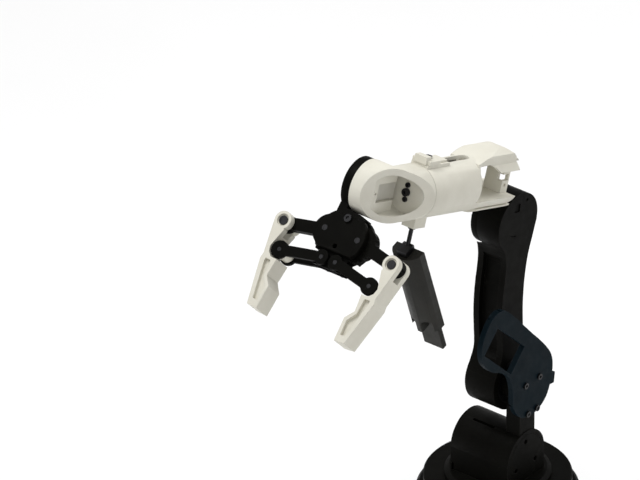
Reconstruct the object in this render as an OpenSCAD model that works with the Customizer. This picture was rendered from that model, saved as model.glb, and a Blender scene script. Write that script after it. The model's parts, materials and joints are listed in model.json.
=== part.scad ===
// Six-axis desktop robot arm with a two-finger parallel gripper.
// Millimetres, +Z up, +X forward, +Y along the shoulder, elbow and wrist axes.

/* [Base] */
// Radius of the heavy floor plate
plate_r = 75; // [70:1:90]
// Radius of the round base housing
housing_r = 55; // [52:1:60]
// Radius of the circle on which the four bench bolts sit
bolt_circle_r = 66; // [63:0.5:67]
// Diameter of the bench bolt holes
bolt_d = 5; // [4:0.5:6]

/* [Arm] */
// Height of the shoulder axis above the table
shoulder_z = 137; // [135:0.5:140]
// Radius of the shoulder and elbow hubs
hub_r = 21; // [20.5:0.1:21.5]
// Width of the upper arm along Y
arm_w = 24; // [23.8:0.1:24.2]
// Depth of the channel down the front of the upper arm
channel_d = 4.2; // [2:0.1:4.5]

/* [Forearm] */
// Upward pitch of the forearm in degrees
pitch = 20; // [18:1:22]
// Outside radius of the forearm tube
tube_r = 18.7; // [18.5:0.1:18.9]
// Wall thickness of the forearm tube
tube_wall = 2.4; // [2:0.1:2.6]

/* [Gripper] */
// Downward angle of the fingers in degrees
droop = 43; // [40:1:46]
// Thickness of each finger
finger_t = 17; // [17:0.1:17.6]
// Length of a finger beyond its drive pivot
finger_l = 61; // [58:1:70]
// Number of teeth of each grip gear, module 1
grip_teeth = 27; // [27:1:27]

/* [Hidden] */
$fn = 64;
zs = shoulder_z;
ex = -5.2;             // elbow axis, forward of the shoulder
ez = zs + 120.9;       // elbow axis height
hw = arm_w / 2;
fo = [1.5, 0, zs + 155.9];   // a point on the forearm axis
wu = 125.6;            // wrist pitch axis along the forearm
eu = -18.3;            // elbow axis in forearm coordinates
ew = -30.6;
roll_u = 98;           // plane of the wrist roll joint
mitre = 31.7;          // angle of the oblique cut on the wrist
wall_u = 105;          // inner end wall of the wrist
yg = -14.3;            // centre of the gripper along Y
fb = 43.2;             // finger pivot line beyond the wrist axis
ga = 13.5;             // grip gear pivots, half spacing
gb = -6;
la = 31.5;             // link vector from gear pivot to finger pivot
lb = 6;
ia = 5.8;              // idler base pivots
ib = 13;
hf = finger_t / 2;
cl = 0.3;              // clearance between moving bodies
rf = 0.1;              // radial running fit

// ---------- curves ----------
function cr(a, b, c, d, t) = 0.5 * ((2 * b) + (c - a) * t
  + (2 * a - 5 * b + 4 * c - d) * t * t + (3 * b - 3 * c + d - a) * t * t * t);
function loop_curve(p, n = 6) = let (m = len(p)) [for (i = [0 : m - 1], k = [0 : n - 1])
  cr(p[(i + m - 1) % m], p[i], p[(i + 1) % m], p[(i + 2) % m], k / n)];
function open_curve(p, n = 6) = let (m = len(p)) concat([for (i = [0 : m - 2], k = [0 : n - 1])
  cr(p[max(i - 1, 0)], p[i], p[i + 1], p[min(i + 2, m - 1)], k / n)], [p[m - 1]]);

// ---------- involute gear, module m, n teeth ----------
function inv_pt(rb, a) = [rb * (cos(a) + a * PI / 180 * sin(a)), rb * (sin(a) - a * PI / 180 * cos(a))];
function rot2(p, a) = [p[0] * cos(a) - p[1] * sin(a), p[0] * sin(a) + p[1] * cos(a)];
function flank(n, m, back) = let (rp = n * m / 2, rb = rp * cos(20), ro = rp + 0.9 * m, ri = max(rb, rp - 1.2 * m),
    amax = sqrt(pow(ro / rb, 2) - 1) * 180 / PI, amin = ri > rb ? sqrt(pow(ri / rb, 2) - 1) * 180 / PI : 0,
    ap = tan(20) * 180 / PI - 20, half = 90 / n - back / rp * 90 / PI)
  [for (k = [0 : 5]) rot2(inv_pt(rb, amin + (amax - amin) * k / 5), -half - ap)];
function gear_pts(n, m, back) = let (f = flank(n, m, back), rr = n * m / 2 - 1.25 * m) [for (i = [0 : n - 1]) each concat(
    [rot2([rr, 0], 360 * i / n - 180 / n + 0.25 * 180 / n)],
    [for (p = f) rot2(p, 360 * i / n)],
    [for (k = [5 : -1 : 0]) rot2([f[k][0], -f[k][1]], 360 * i / n)],
    [rot2([rr, 0], 360 * i / n + 180 / n - 0.25 * 180 / n)])];

// ---------- placing helpers ----------
module ycyl(r, y0, y1, x = 0, z = 0) { translate([x, y1, z]) rotate([90, 0, 0]) cylinder(r = r, h = y1 - y0); }
module ring(ro, ri, h) { difference() { cylinder(r = ro, h = h); translate([0, 0, -1]) cylinder(r = ri, h = h + 2); } }
module xz(y0, y1) { translate([0, y1, 0]) rotate([90, 0, 0]) linear_extrude(y1 - y0) children(); }
module box(a, b) { translate(a) cube([b[0] - a[0], b[1] - a[1], b[2] - a[2]]); }
module at_shoulder() { translate([0, 0, zs]) children(); }
module at_forearm() { translate(fo) rotate([0, -pitch, 0]) children(); }       // x = u, y = v, z = w
module at_wrist() { at_forearm() translate([wu, 0, 0]) children(); }
module at_grip() { at_wrist() rotate([0, pitch + droop, 0]) translate([fb, yg, 0]) children(); }  // x = b, y = a, z = n
module at_tool() { translate([100.5, 0, zs + 145.6]) rotate([0, 18.2, 0]) children(); }
module ucyl(r, u0, u1, v = 0, w = 0) { translate([u0, v, w]) rotate([0, 90, 0]) cylinder(r = r, h = u1 - u0); }

// screw: shank along -Z from 0, head above
module screw(d, l, hd, hh) {
  translate([0, 0, -l]) cylinder(d = d, h = l + 0.01);
  difference() { cylinder(d = hd, h = hh); translate([0, 0, hh - 0.9]) cylinder(d = hd * 0.5, h = 2, $fn = 6); }
}

// hobby servo: output on +Z at the origin, case below it, long side along +X
module servo_case(l, w, h, off, bh, br, bore, ear, ear_z, ear_t = 2) {
  difference() {
    union() {
      box([off - l / 2, -w / 2, -h], [off + l / 2, w / 2, 0]);
      if (bh > 0) cylinder(r = br, h = bh);
      if (ear > 0) box([off - l / 2 - ear, -w / 2 + 0.6, -ear_z - ear_t], [off + l / 2 + ear, w / 2 - 0.6, -ear_z]);
    }
    translate([0, 0, -3]) cylinder(r = bore, h = 3 + bh + 1);
    if (ear > 3) for (s = [-1, 1], t = [-1, 1]) translate([off + s * (l / 2 + ear * 0.55), t * w * 0.25, -ear_z - ear_t - 1]) cylinder(d = w * 0.2, h = ear_t + 2);
    if (ear > 0 && ear <= 3) for (s = [-1, 1]) translate([off + s * (l / 2 + ear * 0.5), 0, -ear_z - ear_t - 1]) cylinder(d = 1.6, h = ear_t + 2);
  }
}
module servo_horn(bore, bh, r, t) {
  translate([0, 0, -2.7]) cylinder(r = bore - rf, h = 2.7 + bh + 0.3 + 0.01);
  translate([0, 0, bh + 0.3]) cylinder(r = r, h = t);
}

// ---------- base ----------
module base_plate() color([0.20, 0.20, 0.21]) difference() {
  union() { translate([0, 0, 3]) cylinder(r = plate_r, h = 7); translate([0, 0, 10]) cylinder(r1 = plate_r, r2 = plate_r - 1, h = 1); }
  for (i = [0 : 3]) rotate(90 * i) translate([bolt_circle_r, 0, 0]) cylinder(d = bolt_d, h = 20);
  for (i = [0 : 3]) rotate(45 + 90 * i) translate([housing_r - 6, 0, 0]) cylinder(d = 3, h = 20);
}
module base_feet() color([0.08, 0.08, 0.08]) {
  for (i = [0 : 3]) rotate(45 + 90 * i) translate([64, 0, 0]) cylinder(r = 8, h = 3);
  cylinder(r = 8, h = 3);
}
module base_wall() difference() {
  union() {
    translate([0, 0, 11]) difference() {
      cylinder(r = housing_r, h = 35.4);
      translate([0, 0, -1]) cylinder(r = housing_r - 3.2, h = 40);
    }
    for (i = [0 : 3]) rotate(45 + 90 * i) translate([housing_r - 6, 0, 11]) cylinder(r = 4, h = 16);
  }
  for (i = [0 : 3]) rotate(45 + 90 * i) translate([housing_r - 6, 0, 10]) cylinder(d = 3, h = 12);
  translate([-housing_r - 5, 0, 27]) rotate([0, 90, 0]) cylinder(r = 6, h = 12);
  for (k = [-3 : 3]) translate([0, 0, 16 + 0]) rotate(k * 7) translate([housing_r - 8, -1.2, 2]) cube([14, 2.4, 16]);
}
module base_housing_front() color([0.11, 0.11, 0.10]) difference() { base_wall(); box([-90, -90, 0], [0, 90, 60]); }
module base_housing_rear() color([0.11, 0.11, 0.10]) difference() { base_wall(); box([0, -90, 0], [90, 90, 60]); }
module base_cover() color([0.11, 0.11, 0.10]) translate([0, 0, 46.4]) difference() {
  union() {
    cylinder(r = housing_r, h = 1.1);
    translate([0, 0, 1.1]) cylinder(r1 = housing_r, r2 = housing_r - 2.5, h = 2.5);
    // spigot inside the wall
    translate([0, 0, -3]) cylinder(r = housing_r - 3.3, h = 4);
  }
  translate([0, 0, -4]) cylinder(r = 32, h = 20);
  translate([0, 0, -4]) cylinder(r = housing_r - 5.5, h = 4);
}
module base_standoffs() color([0.75, 0.70, 0.5]) for (x = [-14.6, 34.8], y = [-5, 5]) translate([x, y, 11]) {
  difference() { cylinder(r = 2.6, h = 25.5, $fn = 6); translate([0, 0, 18]) cylinder(d = 2.5, h = 9); }
}
module base_servo_tray() color([0.11, 0.11, 0.10]) difference() {
  box([-22, -16, 36.5], [42, 16, 39.5]);
  box([10.1 - 20.6, -10.4, 30], [10.1 + 20.6, 10.4, 45]);
  for (x = [-14.6, 34.8], y = [-5, 5]) translate([x, y, 30]) cylinder(d = 3.2, h = 20);
}
module base_servo() color([0.09, 0.09, 0.10]) translate([0, 0, 49]) servo_case(40.6, 20, 36, 10.1, 2.4, 6.5, 3, 7.2, 7, 2.5);
module base_control_board() {
  color([0.05, 0.20, 0.13]) box([-46, -18, 15], [-20, 18, 16.6]);
  color([0.09, 0.09, 0.10]) { box([-42, -8, 16.6], [-32, 8, 18.6]); box([-30, -16, 16.6], [-23, 16, 24]); }
  for (x = [-44, -22], y = [-16, 16]) color([0.7, 0.7, 0.7]) translate([x, y, 11]) cylinder(r = 1.8, h = 4);
}
module base_cable_gland() color([0.10, 0.10, 0.10]) translate([-housing_r - 3, 0, 27]) rotate([0, 90, 0]) difference() {
  union() { cylinder(r = 8, h = 3, $fn = 6); translate([0, 0, 3]) cylinder(r = 5.95, h = 8); }
  translate([0, 0, -1]) cylinder(r = 3.5, h = 14);
}
module base_screws() color([0.6, 0.6, 0.62]) {
  for (i = [0 : 3]) rotate(45 + 90 * i) translate([housing_r - 6, 0, 3]) mirror([0, 0, 1]) screw(3, 17, 5.5, 1.9);
  for (x = [-14.6, 34.8], y = [-5, 5]) translate([x, y, 42]) screw(2.4, 8.2, 4.4, 1.8);
}
module thrust_washer() color([0.85, 0.85, 0.80]) translate([0, 0, 50]) ring(46, 33, 3.7);

// ---------- waist ----------
module base_horn() color([0.85, 0.85, 0.82]) translate([0, 0, 49]) servo_horn(3, 2.4, 12, 2);
module waist_disc() color([0.11, 0.11, 0.10]) difference() {
  union() {
    translate([0, 0, 54]) rotate_extrude() polygon([[0, 0], [49, 0], [50, 1], [50, 5], [49, 6], [0, 6]]);
    translate([0, 0, 53.7]) cylinder(r = 14, h = 1);
  }
  for (i = [0 : 3]) rotate(45 + 90 * i) translate([30, 0, 50]) { cylinder(d = 2.7, h = 20); cylinder(d = 4.8, h = 5.4); }
}
module turret() color([0.11, 0.11, 0.10]) difference() {
  union() {
    xz(-23, 25) translate([2, zs - 55]) circle(r = 20);
    box([-18, -23, 60], [22, 25, zs - 55]);
    translate([0, 0, 60]) rotate_extrude() polygon([[0, 0], [36, 0], [36, 2.5], [33, 4.5], [0, 4.5]]);
    // post up to the shoulder behind the bracket
    xz(13, 24.5) { translate([-8, zs - 55]) square([16, 55]); translate([0, zs]) circle(r = 12); }
    ycyl(12 - rf, 8.5, 13.1, 0, zs);
  }
  ycyl(16, -30, 6, 2, zs - 55);            // cavity of the barrel
  ycyl(17.2, -30, -20.5, 2, zs - 55);      // seat of the end cap
  ycyl(17.2, 22.5, 30, 2, zs - 55);
  ycyl(2.6, 0, 30, 0, zs);                 // horn screw way
  for (s = [-1, 1]) ycyl(1.25, 14, 30, s * 5, zs - 18);
  for (s = [-1, 1]) ycyl(1.25, 14, 30, s * 7.5, zs + 5.5);
  for (i = [0 : 3]) rotate(45 + 90 * i) translate([30, 0, 50]) cylinder(d = 2.6, h = 20);
  box([8, -14, zs - 40], [10, 4, zs - 30]); // cable slot in the crown
}
module turret_end_caps() color([0.13, 0.13, 0.12]) {
  difference() { ycyl(17.1, -23, -20.5, 2, zs - 55); for (i = [0 : 2]) rotate([0, 0, 0]) ycyl(1.6, -26, -18, 2 + 12 * cos(90 + 120 * i), zs - 55 + 12 * sin(90 + 120 * i)); }
  difference() { ycyl(17.1, 22.5, 25, 2, zs - 55); for (i = [0 : 2]) ycyl(1.6, 20, 28, 2 + 12 * cos(90 + 120 * i), zs - 55 + 12 * sin(90 + 120 * i)); }
}
module turret_screws() color([0.6, 0.6, 0.62]) for (i = [0 : 3]) rotate(45 + 90 * i) translate([30, 0, 54]) mirror([0, 0, 1]) translate([0, 0, -1.4]) screw(2.5, 8, 4.6, 1.4);

// ---------- shoulder bracket ----------
bracket_outline = [[-14, 27], [-21.6, 14], [-21.4, 0], [-15, -14.5], [-2, -20.8], [12, -17.5], [20, -6], [21, 9],
  [25, 20.5], [34, 28.5], [45, 35], [53.5, 45.5], [54.8, 58], [49.2, 69.5], [41, 76.6], [31, 76], [20, 66], [3, 46.5]];
module shoulder_bracket() color([0.08, 0.14, 0.20]) difference() {
  union() {
    at_shoulder() xz(24.5, 28.5) polygon(loop_curve(bracket_outline, 5));
    // stop tab on the back of the rim
    at_shoulder() rotate([0, -188, 0]) translate([17, 24.5, -4]) cube([7.6, 4, 8]);
  }
  at_shoulder() translate([30.4, 0, 44.1]) rotate([0, -45, 0]) {
    box([-20.5, 20, -10.5], [20.5, 34, 10.5]);
  }
  for (s = [-1, 1]) ycyl(1.6, 20, 34, s * 5, zs - 18);
  for (s = [-1, 1]) ycyl(1.6, 20, 34, s * 7.5, zs + 5.5);
}
module bracket_screws() color([0.16, 0.17, 0.18]) {
  for (s = [-1, 1]) translate([s * 5, 28.5, zs - 18]) rotate([-90, 0, 0]) screw(2.4, 11, 4.4, 1.3);
  for (s = [-1, 1]) translate([s * 7.5, 28.5, zs + 5.5]) rotate([-90, 0, 0]) screw(2.4, 11, 4.4, 1.3);
}
module shoulder_horn() color([0.85, 0.85, 0.82]) at_shoulder() translate([0, 5.4, 0]) rotate([-90, 0, 0]) servo_horn(2.2, 0.8, 8, 2.0);

// ---------- upper arm ----------
front_edge = [[19, 9], [13.4, 18.5], [11.2, 26], [11.6, 38], [12, 50], [11.6, 62], [10.2, 74], [8.2, 85], [7.2, 94], [8.4, 103], [13, 112]];
back_edge = [[-19, -4], [-14.5, 14], [-11.6, 27], [-11, 40], [-10.8, 53], [-11.5, 65], [-13, 77], [-16.2, 91], [-20.5, 102], [-25.6, 115]];
module arm_outline() {
  polygon(concat(open_curve(front_edge, 4), [for (i = [len(back_edge) - 1 : -1 : 0]) back_edge[i]]));
  circle(r = hub_r);
  translate([ex, 120.9]) circle(r = hub_r);
}
module upper_arm() color([0.11, 0.11, 0.10]) at_shoulder() difference() {
  union() {
    xz(-hw, hw) difference() {
      polygon(concat(open_curve(front_edge, 4), [for (i = [len(open_curve(back_edge, 4)) - 1 : -1 : 0]) open_curve(back_edge, 4)[i]]));
      translate([ex, 120.9]) circle(r = hub_r - 0.5);
    }
    ycyl(hub_r, -hw, hw);
    ycyl(hub_r, -hw + 5.3, hw, ex, 120.9);
  }
  // room for the cheek beside the elbow hub
  ycyl(hub_r + 0.8, -hw - 1, -hw + 5.3, ex, 120.9);
  // channel down the front
  xz(-7.5, 7.3) polygon(concat([for (p = open_curve([[30, 13], [15.5, 21], [11.2, 27], [11.6, 38], [12, 50], [11.6, 62], [10.2, 74], [8.2, 85], [8, 92], [13, 99]], 4)) p - [channel_d, 0]], [[40, 99], [40, 13]]));
  // elbow: servo pocket, opened towards the cheek
  translate([ex, 0, 120.9]) rotate([0, -8, 0]) box([-7.7, -20, -18.7], [7.7, hw - 2.4, 7.7]);
  ycyl(8.6, -20, -hw + 8.8, ex, 120.9);
  // shoulder: bearing seat, horn room and servo pocket
  ycyl(16, 8.4, 20, 0, 0);
  ycyl(9, 5.2, 20, 0, 0);
  box([-7.7, -20, -7.7], [7.7, 5.4, 18.7]);
  box([-10.2, -20, -12.2], [10.2, -hw + 2.2, 22.2]);
  for (x = [-1], z = [-9.9, 20.4]) ycyl(1.0, -hw + 1, -3, 0, z);
  // wire way from shoulder to elbow
  ycyl(3, -3, 3, -2, 30);
  translate([-2, -3, 18]) cube([5, 6, 86]);
  // moulded marks on the elbow face
  translate([ex, 0, 120.9]) rotate([0, -12, 0]) box([0, hw - 0.8, 8], [5.5, 20, 14]);
  ycyl(1.2, hw - 0.8, 20, ex - 10, 134);
  translate([ex + 3, 0, 111]) rotate([0, -25, 0]) box([0, hw - 0.8, 0], [6, 20, 1.1]);
  // marks on the shoulder face
  translate([13, 0, -6]) box([0, hw - 0.8, 0], [1.1, 20, 5]);
}
module shoulder_servo() color([0.09, 0.09, 0.10]) at_shoulder() translate([0, 5.2, 0]) rotate([-90, 0, 0]) rotate(-90) servo_case(26, 15, 14.6, 5.5, 0.8, 4.5, 2.2, 0, 0);
module shoulder_servo_cover() color([0.12, 0.12, 0.11]) difference() {
  at_shoulder() box([-10, -hw, -12], [10, -hw + 2.2, 22]);
  at_shoulder() for (z = [-9.9, 20.4]) ycyl(1.25, -20, 0, 0, z);
}
module arm_cover_screws() color([0.6, 0.6, 0.62]) at_shoulder() for (z = [-9.9, 20.4]) translate([0, -hw, z]) rotate([90, 0, 0]) screw(2, 6, 3.8, 1.2);
module shoulder_bearing() color([0.7, 0.7, 0.72]) at_shoulder() translate([0, 12, 0]) rotate([90, 0, 0]) ring(16, 12, 3.4);
module elbow_servo() color([0.09, 0.09, 0.10]) translate([ex, -hw + 8.8, ez]) rotate([90, 0, 0]) rotate(90 + 180 + 8) rotate(0) servo_case(26, 15, 12.6, 5.5, 0.8, 4.5, 2.2, 0, 0);

// ---------- forearm ----------
module elbow_horn() color([0.85, 0.85, 0.82]) translate([ex, -hw + 8.8, ez]) rotate([90, 0, 0]) rotate(0) servo_horn(2.2, 0.8, 8, 2.7);
module elbow_cheek() color([0.11, 0.11, 0.10]) difference() {
  union() {
    at_forearm() ycyl(hub_r - 0.2, -hw, -hw + 5, eu, ew);
    at_forearm() xz(-hw, -hw + 5) polygon([[eu, ew - 6], [eu - 6, ew], [eu - 12, ew + 14], [eu + 2, ew + 20], [-6, -9.8], [10, -9.8], [14, -13], [14, -17], [6, -20], [eu + 18.5, ew + 4]]);
  }
  ycyl(1.6, -20, 0, ex, ez);
  for (i = [0 : 3]) ycyl(1.0, -20, 0, ex + 5.5 * cos(45 + 90 * i), ez + 5.5 * sin(45 + 90 * i));
  at_forearm() for (u = [0, 8]) ycyl(1.1, -20, 0, u, -14);
}
module cheek_screws() color([0.6, 0.6, 0.62]) {
  at_forearm() for (u = [0, 8]) translate([u, -hw, -14]) rotate([90, 0, 0]) screw(2, 8.0, 3.8, 1.2);
  translate([ex, -hw, ez]) rotate([90, 0, 0]) screw(3, 4.6, 6, 1.4);
}
hump = [[44, 16.5], [36, 19.6], [28, 21.4], [20, 22.8], [13, 23.6], [8.6, 23.2], [4, 20.4], [1.5, 18], [1.5, 8], [44, 8]];
module forearm_shell() color([0.87, 0.86, 0.81]) at_forearm() difference() {
  union() {
    difference() {
      union() {
        ucyl(tube_r, 0, roll_u - 0.4);
        // raised back over the elbow end
        intersection() { xz(-12, 12) polygon(hump); ucyl(24, 0, 60); }
        // landing and tray beside the hub
        intersection() { ucyl(16.4, -7, 4); box([-7, -9, 11], [4, 9, 16]); }
        intersection() { ucyl(tube_r, -14, 2); box([-14, -19, -19], [2, -4, -8.2]); }
        // low flange along the underside
        intersection() { ucyl(tube_r + 1.6, -12, 36); box([-12, -8, -21], [36, 12, -15.5]); }
      }
      difference() { ucyl(tube_r - tube_wall, -30, roll_u - 9); box([-30, -30, -30], [46, 30, -8.2]); box([46, -30, -30], [49, 30, 30]); }
    }
    // bosses and lugs: clamp seat on top, lug below
    box([72, -7, 17.5], [97, 7, 19.6]);
    box([82, -5, -25.5], [95, 5, -17.5]);
    // corner wall at the elbow end: front leaf and side leaf
    intersection() { ucyl(tube_r - 1, 0, 8); union() { box([5.0, -5, -9], [7.6, 9, 18]); box([0.01, 6.4, -9], [7.6, 9, 18]); } }
  }
  // clear the elbow hub
  ycyl(hub_r + 1, -hw + 5 - 0.001, 30, eu, ew);
  ycyl(hub_r + 0.0, -30, -hw + 5, eu, ew);
  // seat for the cheek neck
  xz(-hw - 10, -hw + 5) polygon([[eu - 12, ew + 14], [eu + 2, ew + 20.8], [-6, -9.8], [10, -9.8], [14, -13], [14, -21], [0, -26], [eu + 19.5, ew + 4]]);
  for (u = [0, 8]) ycyl(1.0, -hw, 2, u, -14);
  // side window over the elbow
  difference() {
    xz(6, 40) polygon([[-5, -8.2], [45.5, -8.2], [44.5, 11.5], [41.5, 14.8], [31, 15.2], [24.5, 12.6], [21.5, 9.8], [-5, 9.8]]);
    box([-6, 5, -9], [7.6, 9, 12]);
  }
  // window on the far side
  xz(-40, -8) polygon([[28, -6], [45, -6], [44, 12], [30, 12]]);
  // end opening
  box([-30, -15.5, -8.2], [0.01, 30, 9.8]);
  // notch and screw hole in the corner wall
  box([1.4, 4.7, 0.3], [8, 10, 4.9]);
  ycyl(1.2, 5, 10, 3.9, -2.8);
  // slot along the top with a round end, for the clamp tongue
  translate([46, 0, 12]) cylinder(r = 3.6, h = 12);
  box([46, -3.6, 12], [70, 3.6, 22]);
  translate([0, 0, 12]) cylinder(r = 1.6, h = 8);
  // clamp screw
  translate([88, 0, 10]) cylinder(r = 1.25, h = 12);
  // lug eye for the hanger
  translate([89.5, 0, -30]) cylinder(r = 1.5, h = 11.5);
  // wire holes in the bulkhead
  ucyl(4, 40, 60, 0, -2);
  ucyl(2.5, 40, 60, 0, 8);
  // bearing seat and servo pocket at the wrist end
  ucyl(13, roll_u - 4, roll_u);
  ucyl(5.2, roll_u - 12, roll_u);
  box([roll_u - 30, -5.5, -14.6], [roll_u - 5.6, 5.5, 5.7]);
}
module forearm_clamp() color([0.84, 0.83, 0.78]) at_forearm() difference() {
  union() {
    box([84, -7.5, 19.6], [96, 7.5, 22.4]);
    box([92, -5, 19.6], [97.5, 5, 25]);
    box([73, -5, 19.6], [85, 5, 21.2]);
  }
  translate([88, 0, 15]) cylinder(r = 1.5, h = 12);
}
module clamp_screw() color([0.6, 0.6, 0.62]) at_forearm() translate([88, 0, 22.4]) screw(2.3, 6, 4.4, 1.5);
module wrist_roll_servo() color([0.30, 0.31, 0.33]) at_forearm() translate([roll_u - 5.7, 0, 0]) rotate([0, 90, 0]) rotate(0) servo_case(20, 10.8, 20, 4.5, 1.5, 5, 2.2, 0, 0);
module roll_bearing() color([0.7, 0.7, 0.72]) at_forearm() translate([roll_u - 4, 0, 0]) rotate([0, 90, 0]) ring(13, 9, 3.5);

// ---------- tool carried under the forearm ----------
module tool_hanger() color([0.6, 0.6, 0.62]) {
  at_forearm() translate([89.5, 0, -42]) cylinder(r = 1.5, h = 23.5);
  at_forearm() translate([89.5, 0, -25.5 - 1.6]) cylinder(r = 2.6, h = 1.6);
  at_tool() box([-4.4, -4, 0], [4.6, 4, 4.4]);
}
module tool_sleeve() color([0.24, 0.24, 0.22]) at_tool() difference() {
  intersection() {
    translate([-5, 0, -71]) cylinder(r = 12.5, h = 71);
    box([-5, -11.4, -71], [8, 11.4, 0]);
  }
  translate([-5, 0, -80]) cylinder(r = 5, h = 79);
  box([-5.5, -8, -80], [-1.0, 8, -20]);
  // notch at the top, arches at the lower end
  box([1, -10, -16], [9, -4.5, -9]);
  for (y = [-5.6, 5.6]) {
    translate([-10, y, -64]) rotate([0, 90, 0]) cylinder(r = 3.6, h = 30);
    box([-10, y - 3.6, -75], [20, y + 3.6, -64]);
  }
}
module tool_blade() color([0.22, 0.22, 0.21]) at_tool() difference() {
  box([-5, -8, -93], [-1.0, 8, -20]);
  translate([-10, 0, -30]) rotate([0, 90, 0]) cylinder(r = 2, h = 20);
}

// ---------- wrist ----------
module wrist_roll_horn() color([0.85, 0.85, 0.82]) at_forearm() translate([roll_u - 5.7, 0, 0]) rotate([0, 90, 0]) servo_horn(2.2, 1.5, 8.0, 3.9);
module wrist_housing() color([0.87, 0.86, 0.81]) at_forearm() difference() {
  union() {
    intersection() {
      union() {
        ucyl(tube_r, roll_u, wu);
        ycyl(19, -19, 30, wu, 0);
      }
      translate([98.6, 18.7, 0]) rotate([0, 0, -mitre]) translate([-80, -100, -40]) cube([160, 100, 80]);
    }
    ucyl(9 - rf, roll_u - 3.8, roll_u + 1);
  }
  // interior behind the oval rim
  intersection() {
    difference() {
      union() {
        ucyl(14.4, wall_u, wu + 0.01);
        ycyl(14.4, -30, 30, wu, 0);
      }
      box([112.5, -30, -20], [150, -4.7, 20]);
      box([90, -30, -20], [112.5, -12, 20]);
    }
    translate([98.6, 25, 0]) rotate([0, 0, -mitre]) translate([-80, -100, -40]) cube([160, 100, 80]);
  }
  // pitch servo pocket, ears seat and horn room
  translate([wu, 0, 0]) box([-17.0, -16.8, -6.4], [6.4, 0, 6.4]);
  ycyl(9, -20, -15.8, wu, 0);
  for (u = [-19.3, 8.7]) ycyl(0.9, -12, 0, wu + u, 0);
  ucyl(8.0, roll_u - 5, roll_u);
  // roll horn screws through the end wall
  ucyl(1.6, roll_u - 10, wall_u + 5);
  for (w = [-5, 5]) ucyl(1.1, roll_u - 10, wall_u + 5, 0, w);
  // pin hole in the rim
  translate([110, 8, -22]) cylinder(r = 1.5, h = 10);
}
module wrist_screws() color([0.55, 0.55, 0.55]) at_forearm() {
  for (w = [-5, 5]) translate([wall_u, 0, w]) rotate([0, 90, 0]) screw(2, 6.9, 3.6, 1.2);
  translate([wall_u, 0, 0]) rotate([0, 90, 0]) screw(3, 6.5, 5.6, 2.2);
}
module wrist_pitch_servo() color([0.80, 0.79, 0.75]) at_wrist() translate([0, -15.6, 0]) rotate([90, 0, 0]) mirror([1, 0, 0]) servo_case(22.8, 12.2, 8.4, 5.3, 0.0, 5, 2.2, 0, 0);
module wrist_pitch_horn() color([0.85, 0.85, 0.82]) at_wrist() translate([0, -15.6, 0]) rotate([90, 0, 0]) servo_horn(2.2, 0, 8, 3.4);

// ---------- gripper ----------
module grip_disc() translate([-fb, 0, 0]) children();
module gripper_base() color([0.11, 0.11, 0.10]) at_grip() difference() {
  union() {
    // disc on the wrist axis, and neck to the body
    grip_disc() translate([0, -yg, 0]) ycyl(18.7, -25.6, -19.3);
    box([-fb, -25.6 - yg, -hf], [-19.2, -19.3 - yg, hf]);
    // rear plate of the body
    translate([0, 0, -hf]) difference() {
      union() {
        translate([-5, 0, 0]) cylinder(r = 18.4, h = hf - 3.4);
        translate([0, -11.6, 3.4]) cube([18.5, 23.2, hf - 3.4 - 3.4]);
      }
      translate([6.6, -40, -1]) cube([40, 80, 4.4]);
      translate([18.4, 0, 0]) rotate(0) translate([0, -40, -1]) cube([20, 80, 10]);
    }
    // spine between the plates, behind the gears
    translate([-22.6, -7, -hf]) cube([3.4, 14, 2 * hf]);
    translate([-23.2, -11.3, -hf]) cube([4.0, 12, 2 * hf]);
  }
  for (s = [-1, 1]) translate([gb, s * ga, -20]) cylinder(r = 2, h = 40);
  for (s = [-1, 1]) translate([ib, s * ia, -20]) cylinder(r = 1.5, h = 40);
  translate([-17.3, 0, -20]) cylinder(r = 1.6, h = 40);
  // horn seat round the left gear pivot
  translate([gb, -ga, -hf - 1]) cylinder(r = 5.4, h = hf);
  translate([-26, -40, -3.4]) intersection() { cube([60, 80, 6.8]); translate([26 - 5, 40, 0]) cylinder(r = 18.6, h = 10); translate([6.6, 0, 0]) cube([60, 80, 10]); }
  for (s = [-1, 1]) translate([gb, s * ga, -3.4]) cylinder(r = 15, h = 6.8);
  grip_disc() translate([0, -yg, 0]) { ycyl(1.6, -30, -10); for (i = [0 : 3]) ycyl(1.0, -30, -10, 5.5 * cos(45 + 90 * i), 5.5 * sin(45 + 90 * i)); }
}
module gripper_cover() color([0.11, 0.11, 0.10]) at_grip() difference() {
  union() {
    translate([-5, 0, 3.4]) cylinder(r = 18.4, h = hf - 3.4);
    translate([0, -11.6, 3.4]) cube([18.4, 23.2, 1.7]);
  }
  translate([6.6, -40, 5.1]) cube([40, 80, 8]);
  translate([-24, -20, 2]) cube([4.9, 40, 12]);
  for (s = [-1, 1]) translate([gb, s * ga, -20]) cylinder(r = 2, h = 40);
  for (s = [-1, 1]) translate([ib, s * ia, -20]) cylinder(r = 1.5, h = 40);
  translate([-17.3, 0, -20]) cylinder(r = 1.6, h = 40);
  translate([3, 0, -20]) cylinder(r = 1.7, h = 40);
}
module gripper_servo() color([0.09, 0.09, 0.10]) at_grip() translate([gb, -ga, -hf - 0.1]) mirror([1, 0, 0]) servo_case(22.8, 12.2, 20, 5.3, 0, 5, 2.2, 2, 0);
module gripper_pins() color([0.6, 0.6, 0.62]) at_grip() {
  for (s = [1]) translate([gb, s * ga, -hf]) cylinder(r = 2, h = 2 * hf);
  translate([gb, -ga, -0.5]) cylinder(r = 2, h = hf + 0.5);
  for (s = [-1, 1]) translate([ib, s * ia, -hf]) cylinder(r = 1.5, h = 2 * hf);
}
module gripper_screws() color([0.16, 0.17, 0.18]) at_grip() {
  translate([-17.3, 0, hf]) screw(3, 2 * hf - 1, 5.4, 1.6);
}
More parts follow.
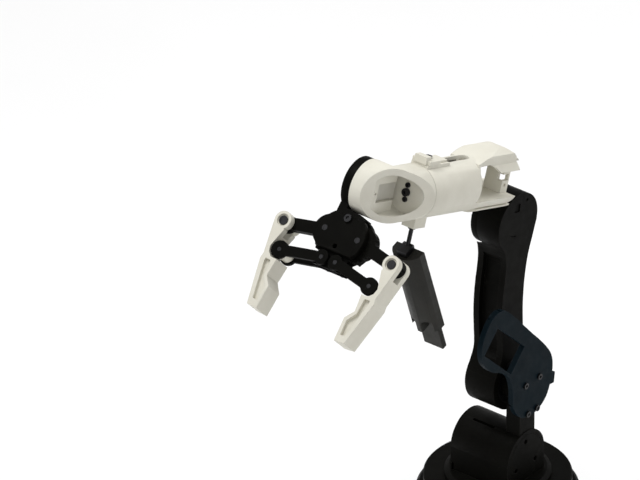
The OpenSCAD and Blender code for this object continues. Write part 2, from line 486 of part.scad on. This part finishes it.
// drive link: toothed sector round the gear pivot and an arm to the finger pivot; s = -1 left, +1 right
module drive_link(s) {
  difference() {
    union() {
      translate([gb, s * ga, -3]) linear_extrude(6) intersection() {
        rotate(s > 0 ? -90 : 90 + 180 / grip_teeth) polygon(gear_pts(grip_teeth, 1, 0.14));
        mirror([0, s > 0 ? 0 : 1]) polygon([[0, 0], [-11, -22], [0, -30], [30, -30], [30, 4], [24, 8.5]]);
      }
      translate([gb, s * ga, -3]) cylinder(r = 11.4, h = 6);
      translate([gb, s * ga, -3]) linear_extrude(6) polygon([[-4.6, 0], [4.6, 0], [lb + 4.2, s * la], [lb - 4.2, s * la]]);
      translate([gb + lb, s * (ga + la), -3]) cylinder(r = 6, h = 6);
    }
    translate([gb, s * ga, -20]) cylinder(r = 2 + rf, h = 40);
    translate([gb + lb, s * (ga + la), -20]) cylinder(r = 2 + rf, h = 40);
  }
}
module left_drive_link() color([0.11, 0.11, 0.10]) at_grip() {
  difference() {
    union() { drive_link(-1); translate([gb, -ga, -hf - 2.7]) cylinder(r = 2.1, h = hf); translate([gb, -ga, -hf + 0.2]) cylinder(r = 5.2, h = hf - 3.1); }
  }
  translate([gb, -ga, -2.9]) cylinder(r = 2.05, h = 2);
}
module right_drive_link() color([0.11, 0.11, 0.10]) at_grip() drive_link(1);
module idler(s) difference() {
  union() {
    translate([ib, s * ia, 0]) cylinder(r = 5.2, h = 3.1);
    linear_extrude(3.1) polygon([[ib - 3.6, s * ia], [ib + 3.6, s * ia], [ib + lb + 3.6, s * (ia + la)], [ib + lb - 3.6, s * (ia + la)]]);
    translate([ib + lb, s * (ia + la), 0]) cylinder(r = 6.2, h = 3.1);
  }
  translate([ib, s * ia, -1]) cylinder(r = 1.5 + rf, h = 6);
  translate([ib + lb, s * (ia + la), -1]) cylinder(r = 1.5 + rf, h = 6);
}
module left_idler_front() color([0.11, 0.11, 0.10]) at_grip() translate([0, 0, 5.4]) idler(-1);
module left_idler_back() color([0.11, 0.11, 0.10]) at_grip() translate([0, 0, -8.5]) idler(-1);
module right_idler_front() color([0.11, 0.11, 0.10]) at_grip() translate([0, 0, 5.4]) idler(1);
module right_idler_back() color([0.11, 0.11, 0.10]) at_grip() translate([0, 0, -8.5]) idler(1);
// finger side profile in (b, a): pivot boss at b = 0, a = 45
module finger(s) difference() {
  union() {
    translate([0, 0, -hf]) linear_extrude(2 * hf) mirror([0, s > 0 ? 0 : 1]) polygon([[2, 51], [25, 46.8], [29, 47.4], [finger_l - 0.4, 40.5], [finger_l + 0.2, 32.4],
      [44.5, 31.6], [38, 36.7], [25.9, 35.4], [25.6, 40.7], [22.8, 43.6], [19, 44.7], [15.2, 43.6], [5.5, 40.6]]);
    translate([0, s * 45, -hf]) cylinder(r = 6.2, h = 2 * hf);
    // lug between the idler plates
    translate([19, s * 37.3, -5.1]) cylinder(r = 5, h = 10.2);
    translate([16.5, s > 0 ? 38 : -44, -5.1]) cube([5, 6, 10.2]);
  }
  // clevis slot for the drive link
  translate([-10, -60, -3.4]) cube([19.5, 120, 6.8]);
  translate([0, s * 45, -3.4]) cylinder(r = 10.5, h = 6.8);
  // idler eyes swing beside the lug
  for (n = [5.1, -12]) translate([19, s * 37.3, n]) cylinder(r = 7.0, h = 6.9);
  // window pocket in the front face
  for (m = [0, 1]) mirror([0, 0, m]) translate([0, 0, hf - 2.5]) linear_extrude(5) mirror([0, s > 0 ? 0 : 1]) polygon([[28, 39.4], [27.8, 43.4], [29.7, 43.7], [finger_l - 5.4, 38.5], [finger_l - 4.9, 34.9], [45.6, 34.2], [39.2, 38.8]]);
  // counterbored pivot holes
  translate([0, s * 45, -20]) cylinder(r = 2, h = 40);
  translate([0, s * 45, hf - 1.6]) cylinder(r = 4.3, h = 10);
  translate([19, s * 37.3, -20]) cylinder(r = 1.5, h = 40);
}
module left_finger() color([0.87, 0.86, 0.81]) at_grip() finger(-1);
module right_finger() color([0.87, 0.86, 0.81]) at_grip() finger(1);
module finger_pins(s) {
  translate([0, s * 45, -hf]) cylinder(r = 2, h = 2 * hf - 1.6);
  translate([0, s * 45, hf - 1.6]) cylinder(r = 3.2, h = 0.9);
  translate([19, s * 37.3, -hf + 0.1]) cylinder(r = 1.5, h = 2 * hf - 0.2);
}
module left_finger_pins() color([0.6, 0.6, 0.62]) at_grip() finger_pins(-1);
module right_finger_pins() color([0.6, 0.6, 0.62]) at_grip() finger_pins(1);

base_plate();
base_feet();
base_housing_front();
base_housing_rear();
base_cover();
base_standoffs();
base_servo_tray();
base_servo();
base_control_board();
base_cable_gland();
base_screws();
thrust_washer();
base_horn();
waist_disc();
turret();
turret_end_caps();
turret_screws();
shoulder_bracket();
bracket_screws();
shoulder_horn();
upper_arm();
shoulder_servo();
shoulder_servo_cover();
shoulder_bearing();
elbow_servo();
arm_cover_screws();
elbow_horn();
elbow_cheek();
cheek_screws();
forearm_shell();
forearm_clamp();
clamp_screw();
wrist_roll_servo();
roll_bearing();
tool_hanger();
tool_sleeve();
tool_blade();
wrist_roll_horn();
wrist_housing();
wrist_screws();
wrist_pitch_servo();
wrist_pitch_horn();
gripper_base();
gripper_cover();
gripper_servo();
gripper_pins();
gripper_screws();
left_drive_link();
right_drive_link();
left_idler_front();
left_idler_back();
right_idler_front();
right_idler_back();
left_finger();
right_finger();
left_finger_pins();
right_finger_pins();
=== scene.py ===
import json
import math

import bmesh
import bpy
from mathutils import Matrix, Vector

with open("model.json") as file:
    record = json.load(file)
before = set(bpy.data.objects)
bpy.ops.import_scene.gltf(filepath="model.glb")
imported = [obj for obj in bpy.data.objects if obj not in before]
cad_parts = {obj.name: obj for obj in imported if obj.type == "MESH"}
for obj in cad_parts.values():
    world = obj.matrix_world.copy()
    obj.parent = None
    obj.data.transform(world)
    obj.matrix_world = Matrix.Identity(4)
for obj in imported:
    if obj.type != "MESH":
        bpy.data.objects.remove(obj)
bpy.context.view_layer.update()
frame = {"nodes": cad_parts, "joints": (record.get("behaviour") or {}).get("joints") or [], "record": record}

nodes = frame["nodes"]
record = frame["record"]
slot_of = {p["node"]: p["material_slot"] for p in record["subparts"]}
body_of = {n: b for b, ns in record["behaviour"]["bodies"].items() for n in ns}
joint = {j["name"]: j for j in frame["joints"]}

# ---------------------------------------------------------------- camera
shoulder = Vector(joint["shoulder_pitch"]["pos_m"])
scene = bpy.context.scene
AZ, EL = math.radians(128.0), math.radians(32.0)
back = Vector((math.sin(AZ) * math.cos(EL), -math.cos(AZ) * math.cos(EL), math.sin(EL)))
aim = Vector((0.0359, -0.1228, shoulder.z + 0.0757))
cam_data = bpy.data.cameras.new("camera")
cam_data.sensor_width = 36.0
cam_data.lens = 1265.6
cam_data.clip_start, cam_data.clip_end = 0.5, 50.0
cam = bpy.data.objects.new("camera", cam_data)
cam.location = aim + back * 15.0
cam.rotation_mode = "QUATERNION"
cam.rotation_quaternion = (-back).to_track_quat("-Z", "Y")
scene.collection.objects.link(cam)
scene.camera = cam
scene.view_settings.view_transform = "Standard"
scene.view_settings.look = "None"


# ---------------------------------------------------------------- materials
def clamp01(x):
    return max(0.0, min(1.0, x))


class Mat:
    def __init__(self, name):
        self.m = bpy.data.materials.new(name)
        self.m.use_nodes = True
        self.t = self.m.node_tree
        self.t.nodes.clear()
        self.out = self.t.nodes.new("ShaderNodeOutputMaterial")
        self.b = self.t.nodes.new("ShaderNodeBsdfPrincipled")
        self.t.links.new(self.b.outputs["BSDF"], self.out.inputs["Surface"])
        self.geo = self.t.nodes.new("ShaderNodeTexCoord")

    def node(self, kind, **vals):
        n = self.t.nodes.new(kind)
        for k, v in vals.items():
            if k in n.inputs:
                n.inputs[k].default_value = v
            else:
                setattr(n, k, v)
        return n

    def link(self, a, b):
        self.t.links.new(a, b)

    def noise(self, scale, detail=4.0, rough=0.55, stretch=None):
        n = self.node("ShaderNodeTexNoise", Scale=scale, Detail=detail, Roughness=rough)
        src = self.geo.outputs["Object"]
        if stretch:
            mp = self.node("ShaderNodeMapping")
            mp.inputs["Scale"].default_value = stretch
            self.link(src, mp.inputs["Vector"])
            src = mp.outputs["Vector"]
        self.link(src, n.inputs["Vector"])
        return n.outputs["Fac"]

    def ramp(self, fac, a, b, lo=0.35, hi=0.65):
        r = self.node("ShaderNodeValToRGB")
        r.color_ramp.elements[0].position = lo
        r.color_ramp.elements[1].position = hi
        r.color_ramp.elements[0].color = (*a, 1.0)
        r.color_ramp.elements[1].color = (*b, 1.0)
        self.link(fac, r.inputs["Fac"])
        return r.outputs["Color"]

    def value_ramp(self, fac, a, b, lo=0.0, hi=1.0):
        r = self.node("ShaderNodeMapRange")
        r.inputs["From Min"].default_value = lo
        r.inputs["From Max"].default_value = hi
        r.inputs["To Min"].default_value = a
        r.inputs["To Max"].default_value = b
        self.link(fac, r.inputs["Value"])
        return r.outputs["Result"]

    # sharp-edge mask from the bevel normal; it places the painted edge highlight and painted edge shade
    def painted_edge_mask(self, radius, lo=0.02, hi=0.25):
        bv = self.node("ShaderNodeBevel", samples=6)
        bv.inputs["Radius"].default_value = radius
        g = self.node("ShaderNodeNewGeometry")
        dot = self.node("ShaderNodeVectorMath", operation="DOT_PRODUCT")
        self.link(bv.outputs["Normal"], dot.inputs[0])
        self.link(g.outputs["Normal"], dot.inputs[1])
        inv = self.node("ShaderNodeMath", operation="SUBTRACT")
        inv.inputs[0].default_value = 1.0
        self.link(dot.outputs["Value"], inv.inputs[1])
        return self.value_ramp(inv.outputs[0], 0.0, 1.0, lo, hi)

    def mix(self, fac, a, b):
        mx = self.node("ShaderNodeMix", data_type="RGBA")
        self.link(fac, mx.inputs["Factor"])
        for s, v in ((mx.inputs[6], a), (mx.inputs[7], b)):
            if isinstance(v, tuple):
                s.default_value = (*v, 1.0)
            else:
                self.link(v, s)
        return mx.outputs[2]

    def layers(self, pitch, direction):
        """Fine layer lines of a printed part, as a height: a wave along one direction of the part."""
        w = self.node("ShaderNodeTexWave", Scale=1.0 / pitch / 2.0 / math.pi * 2.0, Distortion=0.35)
        w.wave_type = "BANDS"
        w.bands_direction = direction
        w.inputs["Detail"].default_value = 1.0
        w.inputs["Detail Scale"].default_value = 0.6
        self.link(self.geo.outputs["Object"], w.inputs["Vector"])
        return w.outputs["Fac"]

    def bump(self, height, strength, distance, normal=None):
        b = self.node("ShaderNodeBump", Strength=strength, Distance=distance)
        self.link(height, b.inputs["Height"])
        if normal is not None:
            self.link(normal, b.inputs["Normal"])
        return b.outputs["Normal"]


def printed(name, base, dark, edge, rough, spec, painted_edge_light_amount, direction="Z", pitch=0.0004, bump=0.16):
    """Printed plastic: cloudy colour, layer lines, fine grain, and painted edge light (a painted highlight on the
    edges of the dark prints, painted shade on the edges of the ivory print).
    """
    m = Mat(name)
    cloud = m.noise(38.0, 5.0, 0.6)
    col = m.ramp(cloud, dark, base, 0.38, 0.62)
    speck = m.noise(2600.0, 2.0, 0.7)
    sp = m.value_ramp(speck, 0.0, 0.10, 0.55, 0.8)
    col = m.mix(sp, col, edge)
    # painted edge light: edges are tinted toward the edge colour, lighter as a painted highlight on dark prints and
    # darker as painted shade on ivory, broken up by noise
    e = m.painted_edge_mask(0.0005)
    brk = m.value_ramp(m.noise(420.0, 3.0, 0.6), 0.55, 1.0, 0.35, 0.65)
    amount = m.node("ShaderNodeMath", operation="MULTIPLY")
    m.link(e, amount.inputs[0])
    m.link(brk, amount.inputs[1])
    am = m.node("ShaderNodeMath", operation="MULTIPLY")
    m.link(amount.outputs[0], am.inputs[0])
    am.inputs[1].default_value = painted_edge_light_amount
    col = m.mix(am.outputs[0], col, edge)
    m.link(col, m.b.inputs["Base Color"])
    r = m.value_ramp(m.noise(160.0, 4.0, 0.6), rough - 0.06, rough + 0.08, 0.3, 0.7)
    m.link(r, m.b.inputs["Roughness"])
    m.b.inputs["Specular IOR Level"].default_value = spec
    n1 = m.bump(m.layers(pitch, direction), bump, 0.00006)
    n2 = m.bump(m.noise(1500.0, 3.0, 0.65), 0.10, 0.0001, n1)
    m.link(n2, m.b.inputs["Normal"])
    return m.m


def metal(name, base, rough, stretch=(1.0, 1.0, 12.0)):
    m = Mat(name)
    n = m.noise(700.0, 4.0, 0.6, stretch)
    col = m.ramp(n, tuple(c * 0.8 for c in base), base)
    m.link(col, m.b.inputs["Base Color"])
    m.b.inputs["Metallic"].default_value = 1.0
    m.link(m.value_ramp(n, rough - 0.08, rough + 0.1, 0.3, 0.7), m.b.inputs["Roughness"])
    m.link(m.bump(n, 0.12, 0.00005), m.b.inputs["Normal"])
    return m.m


def moulded(name, base, rough, spec, grain=900.0, bump=0.1):
    m = Mat(name)
    col = m.ramp(m.noise(60.0), tuple(c * 0.86 for c in base), base)
    m.link(col, m.b.inputs["Base Color"])
    m.link(m.value_ramp(m.noise(220.0), rough - 0.05, rough + 0.07, 0.3, 0.7), m.b.inputs["Roughness"])
    m.b.inputs["Specular IOR Level"].default_value = spec
    m.link(m.bump(m.noise(grain, 3.0, 0.6), bump, 0.0001), m.b.inputs["Normal"])
    return m.m


MATS = {
    "black_print": printed("black_print", (0.0036, 0.0035, 0.0027), (0.0022, 0.0021, 0.0016), (0.030, 0.029, 0.026), 0.50, 0.035, 0.55),
    "ivory_print": printed("ivory_print", (0.70, 0.680, 0.595), (0.655, 0.632, 0.548), (0.30, 0.29, 0.25), 0.55, 0.25, 0.75),
    "navy_print": printed("navy_print", (0.0032, 0.0088, 0.0128), (0.0022, 0.0066, 0.0100), (0.028, 0.045, 0.060), 0.50, 0.04, 0.6),
    "grey_print": printed("grey_print", (0.024, 0.023, 0.020), (0.016, 0.016, 0.014), (0.09, 0.09, 0.08), 0.44, 0.12, 0.6),
    "ballast": moulded("ballast", (0.030, 0.030, 0.032), 0.5, 0.4, 1400.0, 0.3),
    "rubber": moulded("rubber", (0.018, 0.018, 0.018), 0.8, 0.3, 800.0, 0.4),
    "steel": metal("steel", (0.040, 0.040, 0.042), 0.38),
    "servo_case": moulded("servo_case", (0.012, 0.012, 0.013), 0.42, 0.25),
    "light_servo": moulded("light_servo", (0.58, 0.565, 0.50), 0.5, 0.3),
    "horn_nylon": moulded("horn_nylon", (0.70, 0.70, 0.66), 0.45, 0.4),
    "brass": metal("brass", (0.72, 0.52, 0.24), 0.3),
    "board": moulded("board", (0.010, 0.10, 0.045), 0.35, 0.5),
}

for name, obj in nodes.items():
    mat = MATS[slot_of[name]]
    obj.data.materials.clear()
    obj.data.materials.append(mat)


# ---------------------------------------------------------------- edges of the CAD nodes
SOFT = {"ivory_print": 0.00035, "black_print": 0.0004, "navy_print": 0.0004, "grey_print": 0.0004, "ballast": 0.0005}
for name, obj in nodes.items():
    w = SOFT.get(slot_of[name])
    weld = obj.modifiers.new("weld", "WELD")
    weld.merge_threshold = 0.000002
    if w and "link" not in name:
        bev = obj.modifiers.new("edge", "BEVEL")
        bev.width = w
        bev.segments = 2
        bev.limit_method = "ANGLE"
        bev.angle_limit = math.radians(38)
        bev.harden_normals = False
        bev.use_clamp_overlap = True

# ---------------------------------------------------------------- floor and light
bm = bmesh.new()
bmesh.ops.create_grid(bm, x_segments=8, y_segments=8, size=6.0)
fm = bpy.data.meshes.new("floor")
bm.to_mesh(fm)
bm.free()
floor = bpy.data.objects.new("floor", fm)
scene.collection.objects.link(floor)
m = Mat("floor_paint")
m.link(m.ramp(m.noise(1.5), (0.90, 0.90, 0.90), (0.93, 0.93, 0.93)), m.b.inputs["Base Color"])
m.b.inputs["Roughness"].default_value = 0.9
m.b.inputs["Specular IOR Level"].default_value = 0.1
fm.materials.append(m.m)

world = bpy.data.worlds.new("world")
scene.world = world
world.use_nodes = True
bg = world.node_tree.nodes["Background"]
bg.inputs["Color"].default_value = (1.0, 1.0, 1.0, 1.0)
bg.inputs["Strength"].default_value = 0.5


def area(name, loc, target, size, power, color=(1, 1, 1)):
    ld = bpy.data.lights.new(name, "AREA")
    ld.shape = "DISK"
    ld.size = size
    ld.energy = power
    ld.color = color
    o = bpy.data.objects.new(name, ld)
    o.location = loc
    o.rotation_mode = "QUATERNION"
    o.rotation_quaternion = (Vector(target) - Vector(loc)).to_track_quat("-Z", "Y")
    scene.collection.objects.link(o)
    return o


centre = Vector((0.06, -0.03, 0.25))
area("key", centre + Vector((0.35, -0.55, 1.8)), centre, 1.1, 22.0)
area("fill", centre + Vector((1.5, 1.3, 0.9)), centre, 1.4, 5.0)
area("rim", centre + Vector((-1.3, 0.4, 1.2)), centre, 1.0, 10.0)
